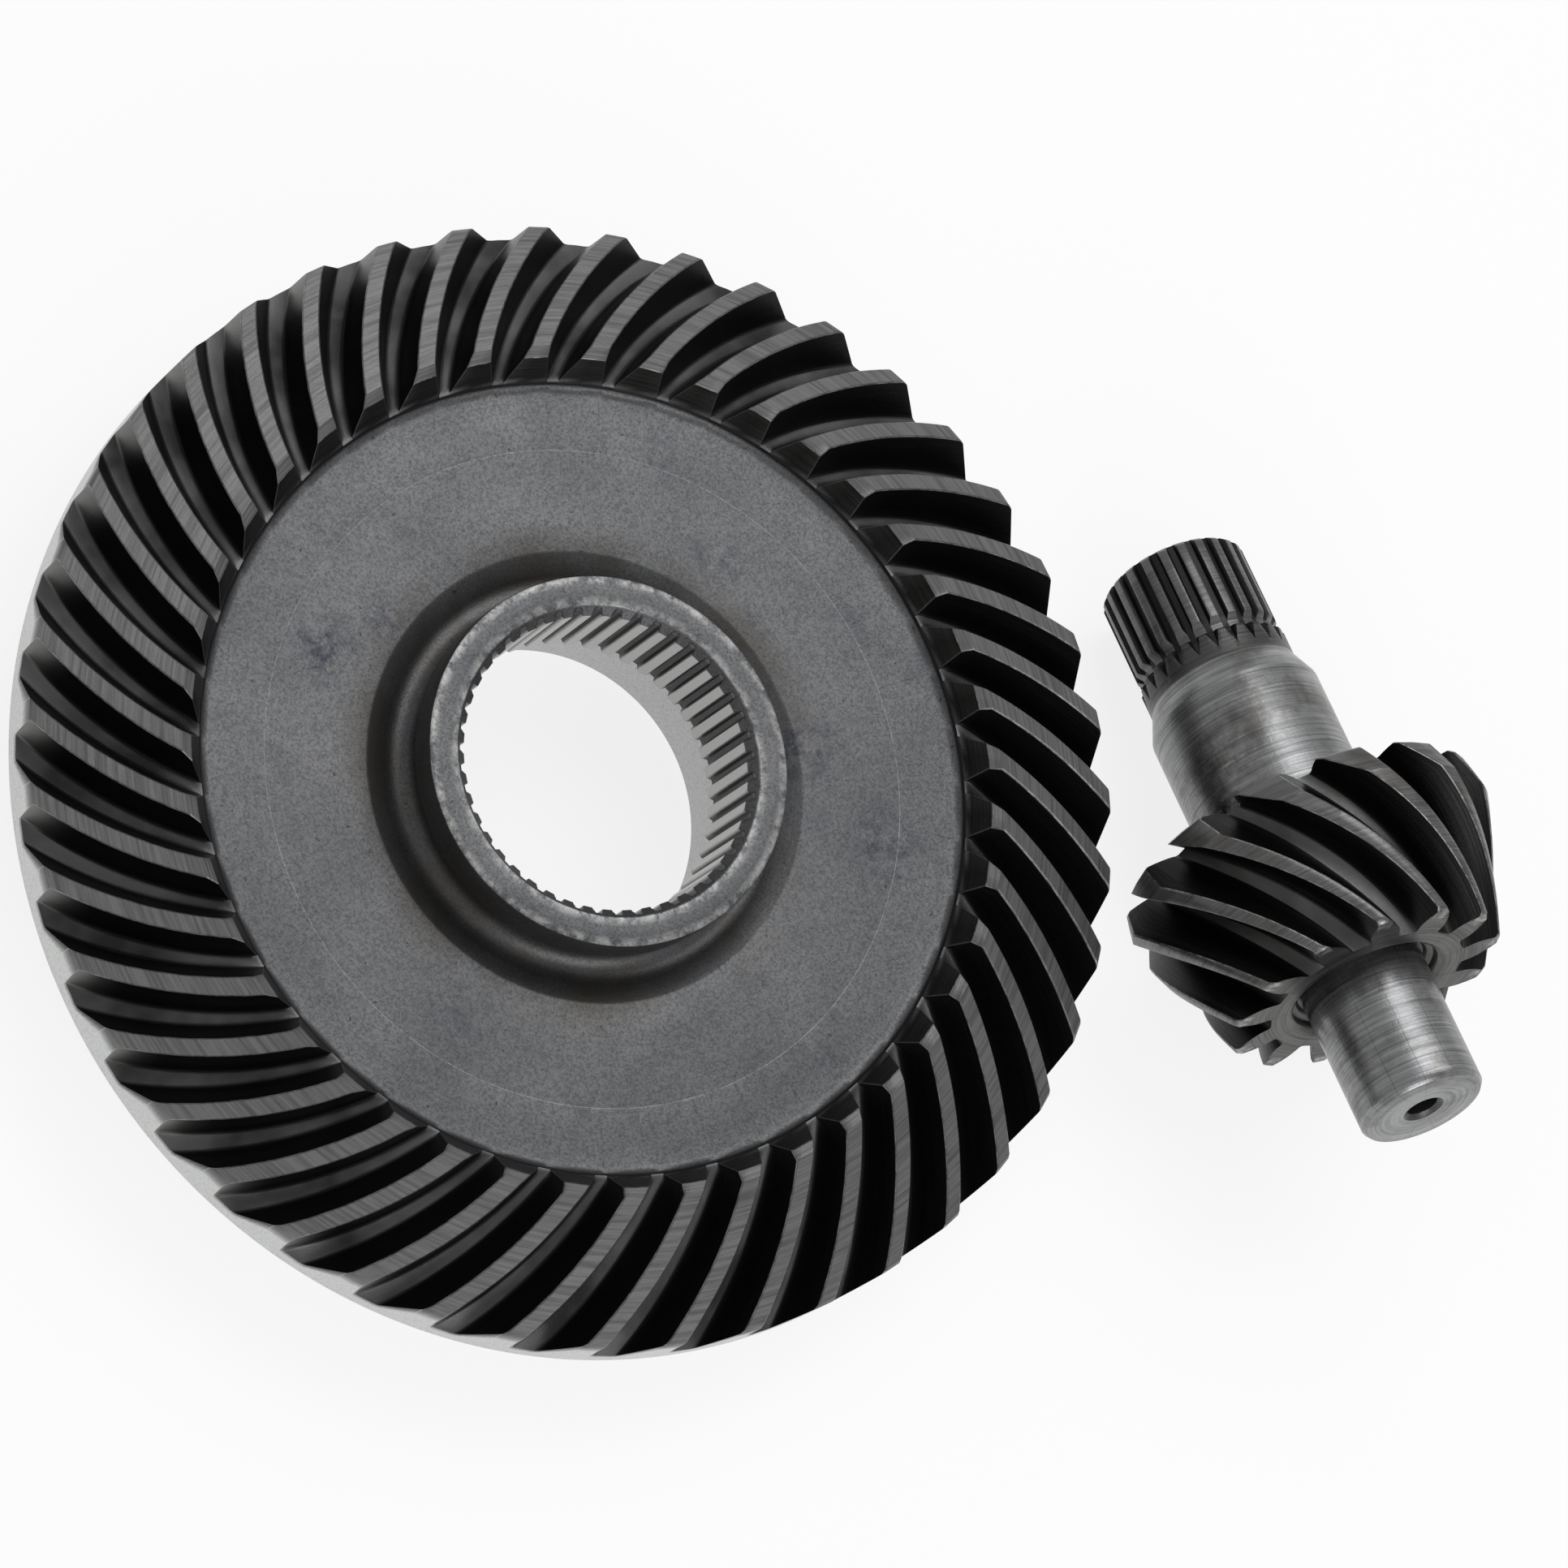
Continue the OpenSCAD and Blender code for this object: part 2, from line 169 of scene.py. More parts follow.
def crownSection(r, top, s):
    # one side of a space at radius r: land, edge break, flank, root round and floor
    low = crownFloorZ(r, 0.0)
    low = crownFloorZ(r, crownSideAngle(r, low, s))
    tall = np.maximum(top - low, 0.0)
    brk = np.minimum(rim["edgeBreak"], tall * 0.2)
    rnd = np.minimum(rim["rootRound"], tall * 0.45)
    per = 1.0 / r
    none = brk * 0
    levels = [(top, top, -brk), (top - brk, top - brk, none), (top - brk * 2, top - brk * 2, none)]
    for f in (0.74, 0.48, 0.22, 0.0):
        z = low + rnd + (tall - brk * 2 - rnd) * f
        levels.append((z, z, none))
    # the root round: height of the point, height of the side it is set in from, how far in
    levels += [(low + rnd * 0.42, low + rnd * 0.6, rnd * 0.12),
               (low + rnd * 0.12, low + rnd * 0.4, rnd * 0.42),
               (low, low + rnd * 0.2, rnd * 0.85)]
    angles = [crownSideAngle(r, at, s) - s * inset * per for _, at, inset in levels]
    heights = [z for z, _, _ in levels]
    return angles, heights


# marks of the columns of one side of a space, from the land to the floor
columnMarks = dict(
    land=[1.0, 0, 0, 0, 0, 0, 0, 0, 0, 0],
    rubAndEdgeHighlight=[1.0, 1.0, 0, 0, 0, 0, 0, 0, 0, 0],
    flank=[0, 0, 1.0, 1, 1, 1, 0.9, 0.5, 0, 0],
    deep=[0, 0, 0.03, 0.26, 0.52, 0.78, 0.9, 0.95, 1, 1])


def makeCrownRim():
    s = rim
    lean = math.tan(s["toeLean"] * degree)
    floorR = s["toeCornerR"] - (s["toeCornerZ"] - s["webHeight"]) * lean
    tangent = s["toeFillet"] * math.tan((90 - s["toeLean"]) / 2 * degree)
    head = [(s["seamRadius"] + 0.12, s["webHeight"]), (54.0, s["webHeight"]), (57.0, s["webHeight"])]
    head += arc(floorR - tangent, s["webHeight"] + s["toeFillet"], s["toeFillet"], -90, -s["toeLean"], 6)
    lastR, lastZ = head[-1]
    head += [(lastR + (s["toeCornerR"] - lastR) * t, lastZ + (s["toeCornerZ"] - lastZ) * t)
             for t in (0.08, 0.16, 0.3, 0.45, 0.6, 0.75, 0.9, 0.97, 1.0)]
    edgeZ = crownFaceZ(s["toeEdgeR"])
    head += [(s["toeCornerR"] + (s["toeEdgeR"] - s["toeCornerR"]) * t,
              s["toeCornerZ"] + (edgeZ - s["toeCornerZ"]) * t) for t in (0.08, 0.5, 0.93, 1.0)]
    toeRows = len(head)
    head += [(r, crownFaceZ(r)) for r in np.linspace(s["toeEdgeR"] + 0.15, s["rimRadius"] - 0.4, 30)]
    heelZ = crownFaceZ(s["rimRadius"])
    head += [(s["rimRadius"] - 0.08, heelZ - 0.34), (s["rimRadius"], heelZ - 0.5)]
    radius = np.array([h[0] for h in head])
    top = np.array([h[1] for h in head])
    cutR = np.maximum(radius, s["runOut"])
    cutTop = np.where(radius < s["runOut"], crownFloorZ(s["runOut"], 0.0) + 0.12, top)
    half = {}
    for side in (1, -1):
        angles, heights = crownSection(cutR, cutTop, side)
        half[side] = (np.array(angles), np.array(heights))
    step = 2 * math.pi / pair["crownTeeth"]
    floorMid = (half[1][0][-1] + half[-1][0][-1]) / 2
    landMid = (half[-1][0][0] + half[1][0][0] - step) / 2
    # columns from the land's middle, down the inner side, over the floor and up the outer side
    angle = np.vstack([landMid[None], half[-1][0], floorMid[None], half[1][0][::-1]])
    height = np.vstack([top[None], half[-1][1], half[-1][1][-1:], half[1][1][::-1]])
    height = np.minimum(height, top[None])
    marks = {}
    for key, base in columnMarks.items():
        mid = base[0] if key != "deep" else 0.0
        column = np.array([mid] + base + [base[-1]] + base[::-1])
        marks[key] = np.repeat(column[None], len(radius), 0)
    marks["deep"][:, 0] = 0
    depth = np.maximum(top[None] - height, 0).T
    cols = angle.shape[0]
    # the wall below the heel, the back and the inner closing wall
    angleRows = [angle.T]
    heightRows = [height.T]
    radiusRows = [np.repeat(radius[:, None], cols, 1)]
    lastAngle, lastHeight = angle.T[-1], height.T[-1]
    lowZ = s["rimBack"] + s["rimEdge"]
    even = landMid[-1] + step * np.arange(cols) / cols
    for t in (0.35, 0.75):
        angleRows.append(lastAngle[None])
        radiusRows.append(np.full((1, cols), s["rimRadius"]))
        heightRows.append((lastHeight + (lowZ - lastHeight) * t)[None])
    back = [(s["rimRadius"], lowZ)]
    back += [(r, s["rimBack"]) for r in (s["rimRadius"] - s["rimEdge"], 76.0, 60.0, s["seamRadius"])]
    back += [(s["seamRadius"], s["webHeight"] - 0.12)]
    for r, z in back:
        angleRows.append(even[None])
        radiusRows.append(np.full((1, cols), r))
        heightRows.append(np.full((1, cols), z))
    angleAll, radiusAll, heightAll = map(np.vstack, (angleRows, radiusRows, heightRows))
    rows = len(angleAll)
    extra = rows - len(radius)
    for key in list(marks):
        marks[key] = np.vstack([marks[key], np.zeros((extra, cols))])
    marks["land"][:toeRows - 4] = 0
    marks["rubAndEdgeHighlight"][:toeRows - 5] = 0
    marks["flank"][:s["webRows"]] = 0
    marks["deep"][:s["webRows"]] = 0
    # the toe face is dark wherever no space cuts it
    marks["toe"] = np.zeros((rows, cols))
    marks["toe"][s["webRows"] - 1:toeRows - 4] = 1
    marks["toe"][:len(radius)][depth >= 0.05] = 0
    # painted reflection: the rim's outer wall, back and inner closing wall take the pale wall colour, partly
    # ground steel and partly the white surroundings' gleam painted in
    marks["wall"] = np.zeros((rows, cols))
    marks["wall"][len(radius):] = 1
    # painted highlight: the end of the side under each land is painted lighter, rising over the last few
    # millimetres to the heel
    reach = (radius - s["rimRadius"]) / s["glowLength"] + 1
    lit = np.clip(reach, 0, 1) ** 1.6 * 0.75
    marks["glow"] = np.zeros((rows, cols))
    marks["glow"][:len(radius), 2:9] = lit[:, None]
    marks["ground"] = marks["spline"] = marks["foot"] = np.zeros((rows, cols))
    teeth = pair["crownTeeth"]
    turn = np.repeat(np.arange(teeth) * step, cols) + s["phase"] * degree
    big = lambda m: np.tile(m, (1, teeth))
    points = ringPoints(big(radiusAll), big(heightAll), big(angleAll) + turn[None])
    # rows run outward over the teeth, so they are reversed for faces that point out of the metal
    return surface("crownRim", points[::-1], {k: big(v)[::-1] for k, v in marks.items()}, True)


markNames = ("land", "rubAndEdgeHighlight", "flank", "deep", "toe", "ground", "wall", "glow", "foot", "spline")


# crown gear hub and web

hub = dict(top=33.0, radius=28.4, minor=22.5, major=23.45, chamfer=1.5, splines=46, phase=5.45,
           reliefRadius=25.7, reliefDepth=15.4, seatRadius=30.0, seatLength=9.0, shoulderRadius=34.0,
           footRadius=3.0, footOut=1.6, footUp=0.7)


def makeCrownHub():
    s, web, back = hub, rim["webHeight"], rim["rimBack"]
    footX, footZ = s["radius"] + s["footOut"], web + s["footUp"]
    footTop = 180 - math.degrees(math.acos((footX - s["radius"]) / s["footRadius"]))
    slope = 30 * degree
    rise = web - footZ + s["footRadius"] * math.cos(slope)
    slopeEnd = footX + s["footRadius"] / 2 + rise / math.tan(slope)
    path = [(rim["seamRadius"], back), (rim["seamRadius"], web - 0.12), (rim["seamRadius"] - 0.12, web),
            (46.0, web), (40.0, web), (slopeEnd + 0.25, web), (slopeEnd - 0.2, web - 0.1)]
    path += arc(footX, footZ, s["footRadius"], 300, footTop, 14)
    path += [(s["radius"], s["top"] - 3.5), (s["radius"], s["top"] - 0.45),
             (s["radius"] - 0.12, s["top"] - 0.12), (s["radius"] - 0.45, s["top"]),
             (26.2, s["top"]), (s["minor"] + s["chamfer"] + 0.08, s["top"])]
    plain = len(path)
    chamferRows = [(s["minor"] + s["chamfer"] * (1 - t), s["top"] - s["chamfer"] * t) for t in
                   (0.03, 0.2, 0.36, 0.5, 0.65, 0.8, 0.95)]
    splineZ = np.linspace(s["top"] - s["chamfer"], s["reliefDepth"] + 0.25, 9)
    path += chamferRows + [(s["minor"], z) for z in splineZ]
    path += [(s["minor"] + 0.2, s["reliefDepth"])]
    splined = len(path)
    path += [(s["reliefRadius"] - 0.2, s["reliefDepth"]), (s["reliefRadius"], s["reliefDepth"] - 0.2),
             (s["reliefRadius"], 8.0), (s["reliefRadius"], 0.6), (s["reliefRadius"] + 0.6, 0),
             (27.6, 0), (s["seatRadius"] - 1, 0), (s["seatRadius"], 1), (s["seatRadius"], 4),
             (s["seatRadius"], s["seatLength"] - 1), (s["seatRadius"], s["seatLength"]),
             (s["shoulderRadius"] - 0.5, s["seatLength"]),
             (s["shoulderRadius"], s["seatLength"] + 0.5),
             (s["shoulderRadius"], back - 0.5), (s["shoulderRadius"] + 1, back), (42.0, back)]
    # one groove: share of the pitch, and how far out the wall stands there, 0 tip to 1 floor
    share = np.array([-0.5, -0.36, -0.285, -0.262, -0.2, -0.15, -0.118, 0.0, 0.118, 0.15, 0.2, 0.262,
                      0.285, 0.36])
    out = np.array([0, 0, 0.0, 0.06, 0.5, 0.93, 1, 1, 1, 0.93, 0.5, 0.06, 0.0, 0])
    wall = s["minor"] + out * (s["major"] - s["minor"])
    radius = np.repeat(np.array([p[0] for p in path])[:, None], len(share), 1)
    height = np.repeat(np.array([p[1] for p in path])[:, None], len(share), 1)
    radius[plain:splined] = np.maximum(radius[plain:splined], wall[None])
    marks = {k: np.zeros(radius.shape) for k in markNames}
    # painted edge highlight and wear on the top edges of the hub and bore
    marks["rubAndEdgeHighlight"][plain - 1:plain + 1] = 0.9
    marks["rubAndEdgeHighlight"][plain - 4:plain - 2] = 1.0
    marks["foot"][5:plain - 4] = 1
    # painted reflection: bright strips on the spline tips stand for the white mirrored in the bore
    marks["spline"][plain + 7:splined] = np.where(out[None] < 0.3, 1.0, 0.0)
    marks["flank"][plain + 6:splined] = np.where(out[None] > 0.8, 0.75, 0.0)
    # painted reflection: the relief bore, seat, shoulder and back take most of the pale wall colour, standing
    # for the white they mirror
    marks["wall"][splined:] = 0.8
    step = 2 * math.pi / s["splines"]
    groove = np.repeat(np.arange(s["splines"]), len(share))
    angle = np.tile(share, s["splines"]) * step + groove * step + s["phase"] * degree
    big = lambda m: np.tile(m, (1, s["splines"]))
    points = ringPoints(big(radius), big(height), np.repeat(angle[None], len(path), 0))
    return surface("crownHub", points, {k: big(v) for k, v in marks.items()}, True)


# pinion: worked out on its own axis, apex at zero, then laid where the joint says

shaft = dict(journalRadius=10.0, journalLength=21.7, headLength=26.4, holeRadius=2.5, holeDepth=14.0,
             seatRadius=14.0, seatLength=23.2, neckRadius=12.2, neckLength=9.0, grooveRadius=10.9,
             grooveWidth=2.0, splines=24, splineMajor=11.9, splineMinor=11.0, splineLength=14.8,
             turn=7.9, edgeBreak=0.16, rootRound=0.95, heelStep=2.0)
shaft["heel"] = pair["cone"] * math.cos(pair["delta"]) + pair["addendum"] * math.sin(pair["delta"])
shaft["heel"] += shaft["heelStep"]
shaft["toe"] = shaft["heel"] - shaft["headLength"]
shaft["end"] = shaft["toe"] - shaft["journalLength"]
shaft["heelEdge"] = shaft["heel"] - 5
shaft["seat"] = shaft["heel"] + 1.8
shaft["neck"] = shaft["seat"] + shaft["seatLength"]
shaft["groove"] = shaft["neck"] + shaft["neckLength"]
shaft["spline"] = shaft["groove"] + shaft["grooveWidth"]
shaft["tail"] = shaft["spline"] + shaft["splineLength"]


def pinionTip(z):
    # radius of the tip cone at distance z from the apex
    over = pair["dedendum"] - pair["clearance"]
    tipZ = pair["cone"] * math.cos(pair["delta"]) - over * math.sin(pair["delta"])
    tipR = pair["pinionPitch"] + over * math.cos(pair["delta"])
    return tipR + (z - tipZ) * math.tan(pair["rootSlope"])


def crownDedendum(a):
    return pair["dedendum"] - (pair["cone"] - a) * math.tan(pair["rootExtra"] * degree)


def pinionRoot(z):
    # root radius at station z, by a few rounds of radius and cone distance
    r = z * 0.25
    for _ in range(6):
        a = z * math.cos(pair["delta"]) + r * math.sin(pair["delta"])
        rise = pair["addendum"] + pair["clearance"]
        rise += (pair["cone"] - a) * math.tan(pair["faceExtra"] * degree)
        r = (a * math.tan(pair["delta"]) - rise) * math.cos(pair["delta"])
    return r


def pinionSideAngle(z, r, side):
    # the mill's circle in the pitch plane, wrapped on the cone, plus the involute of the
    # equivalent spur wheel on the back cone
    d = pair["delta"]
    a, rho = z * math.cos(d) + r * math.sin(d), r / math.cos(d)
    cx, cy = pair["millX"] + side * pair["setX"], pair["millY"] + side * pair["setY"]
    blade = pair["millRadius"] + side * (pair["slotFloor"] / 2 + crownDedendum(a) * pair["blade"])
    far = math.hypot(cx, cy)
    swing = math.atan2(cy, cx) + np.arccos((a * a + far * far - blade * blade) / (2 * a * far))
    spiral = np.arcsin((a * a + blade * blade - far * far) / (2 * a * blade))
    alpha = np.arctan(pair["blade"] / np.cos(spiral))
    pitch = a * math.tan(d)
    base = pitch * np.cos(alpha)
    here = np.arccos(np.minimum(base / np.maximum(rho, base), 1.0))
    roll = (np.tan(alpha) - alpha) - (np.tan(here) - here)
    return swing / math.sin(d) + side * (roll / math.cos(d) - pair["backlash"] / 2 / (a * math.sin(d)))


def pinionSide(z, top, root, side):
    # one side of a space from the land down to the floor, as angles and radii
    tall = top - root
    brk = shaft["edgeBreak"]
    rnd = shaft["rootRound"]
    levels = [(top, -brk), (top - brk, 0), (top - brk * 2, 0)]
    levels += [(root + rnd + (tall - brk * 2 - rnd) * f, 0) for f in (0.74, 0.48, 0.22)]
    levels += [(root + rnd, 0), (root + rnd * 0.42, 0.12), (root + rnd * 0.1, 0.36), (root, 0.85)]
    angles = []
    for r, inset in levels:
        base = pinionSideAngle(z, np.maximum(r, root + rnd) if inset > 0 else r, side)
        angles.append(base + side * inset / r)
    return np.array(angles), np.array([np.broadcast_to(r, z.shape) for r, _ in levels])


def layDown(points):
    # axis onto the joint's line: the journal's end points along the joint's axis
    away = -np.array(pinionJoint["axis"])
    sidewise = np.cross([0.0, 0.0, 1.0], away)
    sidewise /= np.linalg.norm(sidewise)
    up = np.cross(away, sidewise)
    spin = shaft["turn"] * degree
    # local x points down out of the lying shaft, y along the table, as the solid's do
    x, y = -up, sidewise
    xt = x * math.cos(spin) + y * math.sin(spin)
    yt = y * math.cos(spin) - x * math.sin(spin)
    here = np.array(pinionJoint["pos_m"]) * 1000
    return here + points[..., :1] * xt + points[..., 1:2] * yt + (points[..., 2:] - shaft["heelEdge"]) * away


def makePinionHead():
    s = shaft
    r, e, t, h = s["journalRadius"], s["end"], s["toe"], s["heel"]
    hole = s["holeRadius"]
    # radius and station: the end hole, the journal, then the turned recess in the toe face
    front = [(0.02, e + s["holeDepth"] + 1.2), (hole - 0.15, e + s["holeDepth"]),
             (hole, e + s["holeDepth"] - 0.3), (hole, e + 7), (hole, e + 0.7),
             (hole + 0.7, e + 0.05), (hole + 0.85, e), (6.0, e), (r - 0.75, e), (r - 0.6, e + 0.06),
             (r - 0.05, e + 0.84), (r, e + 1.0), (r, e + 8), (r, e + 16), (r, t + 1.75),
             (r - 0.05, t + 1.85), (r - 0.4, t + 2.2), (r - 0.4, t + 2.7), (r + 0.45, t + 2.7),
             (r + 0.55, t + 2.62), (r + 0.85, t + 2.15), (r + 0.95, t + 2.08), (r + 1.7, t + 1.93),
             (r + 1.82, t + 1.85), (r + 2.05, t + 0.75), (r + 2.15, t + 0.65), (r + 3.02, t + 0.04),
             (r + 3.2, t)]
    stations = np.concatenate([[t, t + 0.12, t + 0.5], np.linspace(t + 0.9, s["heelEdge"] - 0.25, 26),
                               [s["heelEdge"], s["heelEdge"] + 0.25],
                               np.linspace(s["heelEdge"] + 1, h - 0.7, 5), [h - 0.5, h]])
    edgeR = pinionTip(s["heelEdge"])
    tops = np.where(stations <= s["heelEdge"], pinionTip(stations),
                    edgeR - 0.8 * (stations - s["heelEdge"]) / (h - 0.6 - s["heelEdge"]))
    tops[0], tops[1], tops[2] = pinionTip(t) - 0.5, pinionTip(t) - 0.36, pinionTip(t + 0.5)
    tops[-1] = edgeR - 1.4
    roots = pinionRoot(stations)
    outer = pinionSide(stations, tops, roots, 1)
    inner = pinionSide(stations, tops, roots, -1)
    step = 2 * math.pi / pair["pinionTeeth"]
    landMid = (outer[0][0] + inner[0][0]) / 2
    floorMid = (outer[0][-1] + inner[0][-1] + step) / 2
    angle = np.vstack([landMid[None], outer[0], floorMid[None], inner[0][::-1] + step]).T
    radius = np.vstack([tops[None], outer[1], roots[None], inner[1][::-1]]).T
    cols = angle.shape[1]
    # rows of angle, radius and station
    one = np.ones(cols)
    backRadius = s["seatRadius"] + 5
    backShape = [(s["seatRadius"] + 4, h + 1), (s["seatRadius"] + 3.4, s["seat"]),
                 (s["seatRadius"] - 0.35, s["seat"])]
    rows = [(angle[0], pr * one, pz * one) for pr, pz in front]
    rows += [(angle[0], radius[0] + (front[-1][0] - radius[0]) * k, t * one) for k in (0.75, 0.4, 0.1)]
    startHead = len(rows)
    rows += [(angle[k], radius[k], stations[k] * one) for k in range(len(stations))]
    endHead = len(rows)
    rows += [(angle[-1], radius[-1] + (backRadius - radius[-1]) * k, h * one) for k in (0.15, 0.55, 1.0)]
    rows += [(angle[-1], pr * one, pz * one) for pr, pz in backShape]
    rowsA, rowsR, rowsZ = np.array(rows).transpose(1, 0, 2)
    marks = {k: np.zeros((len(rows), cols)) for k in markNames}
    for key, side in columnMarks.items():
        middle = 0.0 if key == "deep" else side[0]
        marks[key][startHead:endHead] = [middle] + side + [side[-1]] + side[::-1]
    # painted edge highlight and wear on the toe edges of the teeth
    marks["rubAndEdgeHighlight"][startHead - 1:startHead + 2, [0, 1, 2, cols - 1, cols - 2]] = 1
    marks["land"][startHead:startHead + 2] = 0
    marks["ground"][6:15] = 1
    marks["toe"][17:startHead + 1] = 1
    teeth = pair["pinionTeeth"]
    turn = np.repeat(np.arange(teeth) * step, cols)
    big = lambda m: np.tile(m, (1, teeth))
    points = ringPoints(big(rowsR), big(rowsZ), big(rowsA) + turn[None])
    return surface("pinionHead", layDown(points), {k: big(v) for k, v in marks.items()}, False, points)


def makePinionTail():
    s = shaft
    seat, neck, groove, spline, tail = s["seat"], s["neck"], s["groove"], s["spline"], s["tail"]
    sr, nr, gr, mr = s["seatRadius"], s["neckRadius"], s["grooveRadius"], s["splineMajor"]
    runOut = 3.0
    # station, blank radius, how deep the groove floor lies (1 is full depth)
    path = [(seat - 0.3, 6.0, 0), (seat - 0.3, sr - 0.35, 0), (seat + 1.6, sr - 0.3, 0),
            (seat + 2.0, sr - 0.02, 0), (seat + 2.2, sr, 0), (seat + 9, sr, 0), (seat + 16, sr, 0),
            (neck - 0.25, sr, 0), (neck + 0.15, sr - 0.06, 0), (neck + 2.2, (sr + nr) / 2, 0),
            (neck + 4.2, nr + 0.08, 0), (neck + 4.7, nr, 0)]
    path += [(groove - runOut + runOut * k * 0.93, nr, k) for k in (0.0, 0.05, 0.25, 0.5, 0.75, 1.0)]
    path += [(groove - 0.1, nr, 1), (groove + 0.2, nr - 0.35, 1), (groove + 0.45, gr, 1),
             (spline - 0.6, gr, 1), (spline - 0.4, gr + 0.08, 1), (spline + 0.45, mr - 0.05, 1),
             (spline + 0.65, mr, 1), (spline + 5, mr, 1), (spline + 10, mr, 1), (tail - 0.8, mr, 1),
             (tail - 0.6, mr - 0.1, 1), (tail - 0.05, mr - 0.66, 1), (tail, mr - 0.8, 1), (tail, 5.0, 0)]
    z, blank, full = np.array(path, float).T
    floor = nr - (nr - s["splineMinor"]) * full
    floor = np.where(full > 0, floor, 99.0)
    # from the tooth's middle, -1, over its lip, 0, to the floor's edge, 1
    shape = (-1.0, -0.62, -0.04, 0.03, 0.5, 0.95, 1.0)
    half = math.pi / s["splines"]
    width = np.where(full > 0, np.maximum(full, 0.04), 1.0)
    floorHalf = 0.45 * width / 11.0
    cut = np.clip(blank - np.minimum(floor, blank), 0.02, 2)
    lip = (0.45 * width + 0.47 * cut) / np.maximum(blank, 9)
    lip = np.maximum(lip, floorHalf + 0.004)
    left = np.array([lip + (half - lip) * -k if k <= 0 else lip + (floorHalf - lip) * k for k in shape])
    depths = [max(k, 0.0) for k in shape]
    angle = np.vstack([left, np.zeros((1, len(z))), -left[::-1][:-1]]).T
    deep = np.array(depths + [1.0] + depths[::-1][:-1])
    bottom = np.minimum(floor, blank)
    radius = blank[:, None] + (bottom - blank)[:, None] * deep[None]
    cols = angle.shape[1]
    marks = {k: np.zeros((len(z), cols)) for k in markNames}
    marks["ground"][3:11] = 1
    marks["toe"][11:20] = 0.6
    marks["land"][20:] = np.where(deep[None] == 0, 0.8, 0)
    marks["flank"][12:] = np.where(deep[None] > 0, 0.8, 0) * (full[12:, None] > 0)
    marks["land"][-2:] = marks["flank"][-2:] = 0
    teeth = s["splines"]
    turn = np.repeat(np.arange(teeth) * 2 * half, cols)
    big = lambda m: np.tile(m[:, ::-1], (1, teeth))
    points = ringPoints(big(radius), np.repeat(z[:, None], cols * teeth, 1), big(angle) + turn[None])
    return surface("pinionTail", layDown(points), {k: big(v) for k, v in marks.items()}, False, points)


# finishes

def addNode(tree, kind, **inputs):
    # _name sets a setting of the node, i0, i1 its inputs by number, any other name its input
    node = tree.nodes.new(kind)
    for key, value in inputs.items():
        if key.startswith("_"):
            setattr(node, key[1:], value)
            continue
        numbered = key[0] == "i" and key[1:].isdigit()
        socket = node.inputs[int(key[1:]) if numbered else key.replace("_", " ")]
        if isinstance(value, bpy.types.NodeSocket):
            tree.links.new(value, socket)
        else:
            socket.default_value = value
    return node


# the bright edge colour is partly rubbed wear and partly a painted edge highlight
# the glow colour is a painted highlight on the heel end of the tooth sides
# the spline colour is a painted reflection on the spline tips of the bore
# the wall colour is partly ground steel and partly a painted reflection of the white surroundings
steelLook = dict(
    body=(0.088, 0.090, 0.095, 1), pale=(0.128, 0.129, 0.132, 1), dark=(0.030, 0.030, 0.031, 1),
    ink=(0.022, 0.025, 0.038, 1), flank=(0.0060, 0.0060, 0.0062, 1), flankPale=(0.020, 0.020, 0.0205, 1),
    land=(0.175, 0.175, 0.177, 1), landDark=(0.098, 0.098, 0.098, 1), floor=(0.115, 0.115, 0.118, 1),
    toe=(0.012, 0.0115, 0.011, 1), glow=(0.20, 0.20, 0.19, 1), rubAndEdgeHighlight=(0.42, 0.42, 0.41, 1),
    ground=(0.36, 0.365, 0.37, 1), wall=(0.62, 0.63, 0.62, 1), brown=(0.052, 0.045, 0.034, 1),
    spline=(0.38, 0.38, 0.37, 1), paint=(0.012, 0.085, 0.040, 1))


